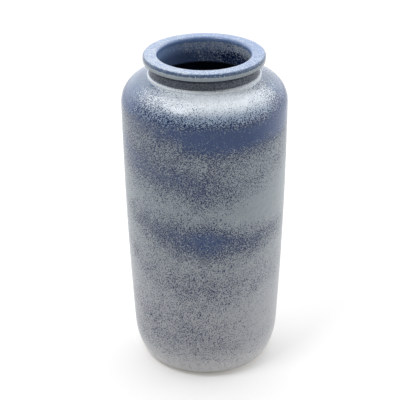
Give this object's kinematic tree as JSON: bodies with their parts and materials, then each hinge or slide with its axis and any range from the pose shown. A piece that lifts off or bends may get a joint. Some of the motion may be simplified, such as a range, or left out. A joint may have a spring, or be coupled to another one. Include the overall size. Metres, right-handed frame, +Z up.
{
  "type": "flower vase",
  "caption": "Tall round-shouldered stoneware flower vase with a short beaded neck and a flat rolled lip, in speckled blue and grey glaze.",
  "frame": {"origin": "centre of the foot ring, on the surface that the vase stands on", "axes": "+Z up along the vase's axis; the vase is round, so +X and +Y are any two directions across it, and -Y is the side that faces the viewer"},
  "size_m": [0.18, 0.18, 0.366],
  "materials": {
    "stoneware": "matte",
    "speckled_glaze": "satin",
    "liner_glaze": "satin"
  },
  "bodies": {
    "root": {"stoneware_body": "stoneware", "outer_glaze": "speckled_glaze", "inner_glaze": "liner_glaze"}
  },
  "joints": []
}
